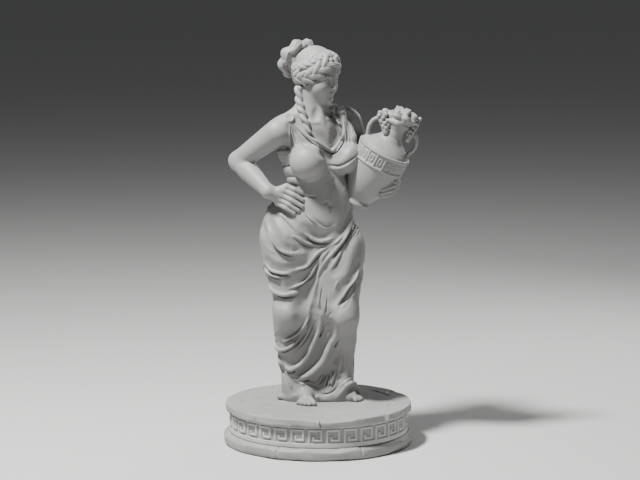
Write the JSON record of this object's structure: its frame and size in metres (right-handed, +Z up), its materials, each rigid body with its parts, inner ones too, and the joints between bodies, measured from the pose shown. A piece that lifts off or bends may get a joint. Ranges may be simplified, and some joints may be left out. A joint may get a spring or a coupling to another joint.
{
  "type": "water bearer statue",
  "caption": "Carved stone statue of a draped woman, one hand on her hip, an amphora of grapes on her other arm, on a round plinth with a key pattern.",
  "frame": {"origin": "centre of the plinth's underside, on the ground", "axes": "+Z up, -Y to the front of the statue as pictured, +X to the side of the amphora"},
  "size_m": [0.9138, 0.8846, 1.8779],
  "materials": {
    "figure_stone": null,
    "top_slab_stone": null,
    "drum_stone": null,
    "base_slab_stone": null
  },
  "bodies": {
    "root": {"figure": "figure_stone", "plinth_top_slab": "top_slab_stone", "plinth_drum": "drum_stone", "plinth_base_slab": "base_slab_stone"}
  },
  "joints": []
}
